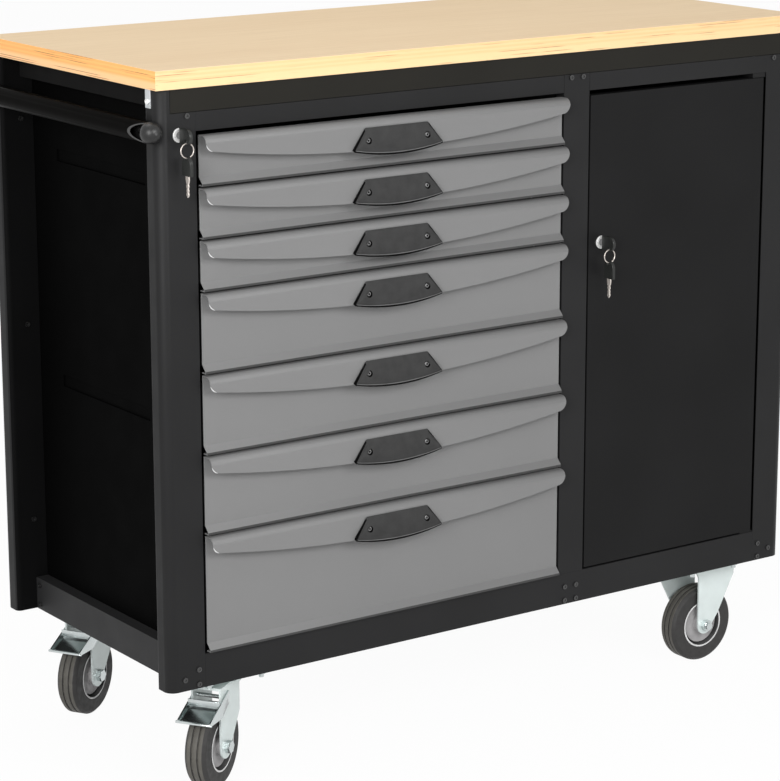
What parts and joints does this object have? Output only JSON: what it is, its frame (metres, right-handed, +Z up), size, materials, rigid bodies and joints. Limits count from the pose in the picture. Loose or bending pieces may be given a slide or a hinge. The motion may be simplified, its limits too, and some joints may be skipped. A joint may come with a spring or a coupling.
{
  "type": "rolling tool cabinet",
  "caption": "Black steel rolling tool cabinet with grey lip-front drawers beside a hinged cupboard, plywood worktop, side push handle and braked swivel casters",
  "frame": {"origin": "on the floor, below the middle of the bounding box", "axes": "+X along the cabinet to the right seen from the front, the drawers open towards -Y, +Z up"},
  "size_m": [1.195, 0.55, 1.058],
  "materials": {
    "frame_black": "black powder coat, fine texture",
    "panel_black": "black powder coat",
    "door_black": "black powder coat, satin",
    "front_grey": "mid grey powder coat, satin",
    "box_black": "black powder coat",
    "plywood": "clear lacquered birch plywood",
    "zinc": "bright zinc plating",
    "slide_steel": "zinc plated sheet",
    "screw_black": "blackened steel",
    "grip_black": "grained moulded plastic",
    "handle_plastic": "moulded plastic, satin",
    "lock_chrome": "nickel plated",
    "key_black": "black moulded bow on a nickel plated blade",
    "key_steel": "nickel plated ring and key blade, black bow",
    "tyre_grey": "dark grey solid rubber",
    "hub_grey": "grey moulded plastic"
  },
  "bodies": {
    "cabinet": {"worktop": "plywood", "top_fascia": "frame_black", "corner_posts": "frame_black", "front_top_rails": "frame_black", "front_bottom_rail": "frame_black", "center_stile": "frame_black", "side_panels": "panel_black", "side_rails": "frame_black", "back_panel": "panel_black", "floor_panel": "panel_black", "divider_panel": "panel_black", "worktop_brackets": "zinc", "frame_screws": "screw_black", "drawer_slides": "slide_steel", "door_hinges": "frame_black", "drawer_lock_barrel": "lock_chrome", "push_handle": "frame_black", "handle_ends": "handle_plastic", "caster_bolts": "zinc", "swivel_plates": "zinc", "fixed_forks": "zinc"},
    "drawer_1": {"drawer_1_box": "box_black", "drawer_1_front": "front_grey", "drawer_1_grip": "grip_black"},
    "drawer_2": {"drawer_2_box": "box_black", "drawer_2_front": "front_grey", "drawer_2_grip": "grip_black"},
    "drawer_3": {"drawer_3_box": "box_black", "drawer_3_front": "front_grey", "drawer_3_grip": "grip_black"},
    "drawer_4": {"drawer_4_box": "box_black", "drawer_4_front": "front_grey", "drawer_4_grip": "grip_black"},
    "drawer_5": {"drawer_5_box": "box_black", "drawer_5_front": "front_grey", "drawer_5_grip": "grip_black"},
    "drawer_6": {"drawer_6_box": "box_black", "drawer_6_front": "front_grey", "drawer_6_grip": "grip_black"},
    "drawer_7": {"drawer_7_box": "box_black", "drawer_7_front": "front_grey", "drawer_7_grip": "grip_black"},
    "door": {"door_leaf": "door_black", "door_lock_barrel": "lock_chrome"},
    "drawer_lock_plug": {"drawer_lock_key": "key_black"},
    "drawer_keys": {"drawer_key_ring": "key_steel"},
    "door_lock_plug": {"door_lock_key": "key_black"},
    "door_keys": {"door_key_ring": "key_steel"},
    "swivel_front_left": {"fork_front_left": "zinc"},
    "pedal_front_left": {"pedal_front_left": "zinc"},
    "wheel_front_left": {"tyre_front_left": "tyre_grey", "hub_front_left": "hub_grey"},
    "swivel_rear_left": {"fork_rear_left": "zinc"},
    "pedal_rear_left": {"pedal_rear_left": "zinc"},
    "wheel_rear_left": {"tyre_rear_left": "tyre_grey", "hub_rear_left": "hub_grey"},
    "wheel_front_right": {"tyre_front_right": "tyre_grey", "hub_front_right": "hub_grey"},
    "wheel_rear_right": {"tyre_rear_right": "tyre_grey", "hub_rear_right": "hub_grey"}
  },
  "joints": [
    {"name": "drawer_1_slide", "type": "slide", "parent": "cabinet", "child": "drawer_1", "axis": [0, -1, 0], "range_m": [0, 0.4]},
    {"name": "drawer_2_slide", "type": "slide", "parent": "cabinet", "child": "drawer_2", "axis": [0, -1, 0], "range_m": [0, 0.4]},
    {"name": "drawer_3_slide", "type": "slide", "parent": "cabinet", "child": "drawer_3", "axis": [0, -1, 0], "range_m": [0, 0.4]},
    {"name": "drawer_4_slide", "type": "slide", "parent": "cabinet", "child": "drawer_4", "axis": [0, -1, 0], "range_m": [0, 0.4]},
    {"name": "drawer_5_slide", "type": "slide", "parent": "cabinet", "child": "drawer_5", "axis": [0, -1, 0], "range_m": [0, 0.4]},
    {"name": "drawer_6_slide", "type": "slide", "parent": "cabinet", "child": "drawer_6", "axis": [0, -1, 0], "range_m": [0, 0.4]},
    {"name": "drawer_7_slide", "type": "slide", "parent": "cabinet", "child": "drawer_7", "axis": [0, -1, 0], "range_m": [0, 0.4]},
    {"name": "door_hinge", "type": "hinge", "parent": "cabinet", "child": "door", "pos_m": [0.519, -0.2335, 0.595], "axis": [0, 0, 1], "range_deg": [0, 110]},
    {"name": "drawer_lock_turn", "type": "hinge", "parent": "cabinet", "child": "drawer_lock_plug", "pos_m": [-0.5345, -0.242, 0.968], "axis": [0, 1, 0], "range_deg": [0, 70]},
    {"name": "drawer_keys_swing", "type": "hinge", "parent": "drawer_lock_plug", "child": "drawer_keys", "pos_m": [-0.5345, -0.264, 0.961], "axis": [1, 0, 0], "range_deg": [-25, 8]},
    {"name": "door_lock_turn", "type": "hinge", "parent": "door", "child": "door_lock_plug", "pos_m": [0.2045, -0.242, 0.738], "axis": [0, -1, 0], "range_deg": [0, 90]},
    {"name": "door_keys_swing", "type": "hinge", "parent": "door_lock_plug", "child": "door_keys", "pos_m": [0.2045, -0.264, 0.731], "axis": [1, 0, 0], "range_deg": [-25, 8]},
    {"name": "swivel_front_left_turn", "type": "hinge", "parent": "cabinet", "child": "swivel_front_left", "pos_m": [-0.4415, -0.176, 0.1544], "axis": [0, 0, 1], "continuous": true},
    {"name": "pedal_front_left_press", "type": "hinge", "parent": "swivel_front_left", "child": "pedal_front_left", "pos_m": [-0.473, -0.19725, 0.1384], "axis": [0.5592, -0.829, 0], "range_deg": [0, 10]},
    {"name": "wheel_front_left_roll", "type": "hinge", "parent": "swivel_front_left", "child": "wheel_front_left", "pos_m": [-0.47135, -0.19613, 0.0625], "axis": [0.5592, -0.829, 0], "continuous": true},
    {"name": "swivel_rear_left_turn", "type": "hinge", "parent": "cabinet", "child": "swivel_rear_left", "pos_m": [-0.4415, 0.2, 0.1544], "axis": [0, 0, 1], "continuous": true},
    {"name": "pedal_rear_left_press", "type": "hinge", "parent": "swivel_rear_left", "child": "pedal_rear_left", "pos_m": [-0.47373, 0.17986, 0.1384], "axis": [0.5299, -0.848, 0], "range_deg": [0, 10]},
    {"name": "wheel_rear_left_roll", "type": "hinge", "parent": "swivel_rear_left", "child": "wheel_rear_left", "pos_m": [-0.47203, 0.18092, 0.0625], "axis": [0.5299, -0.848, 0], "continuous": true},
    {"name": "wheel_front_right_roll", "type": "hinge", "parent": "cabinet", "child": "wheel_front_right", "pos_m": [0.4725, -0.176, 0.0625], "axis": [0, 1, 0], "continuous": true},
    {"name": "wheel_rear_right_roll", "type": "hinge", "parent": "cabinet", "child": "wheel_rear_right", "pos_m": [0.4725, 0.2, 0.0625], "axis": [0, 1, 0], "continuous": true}
  ]
}
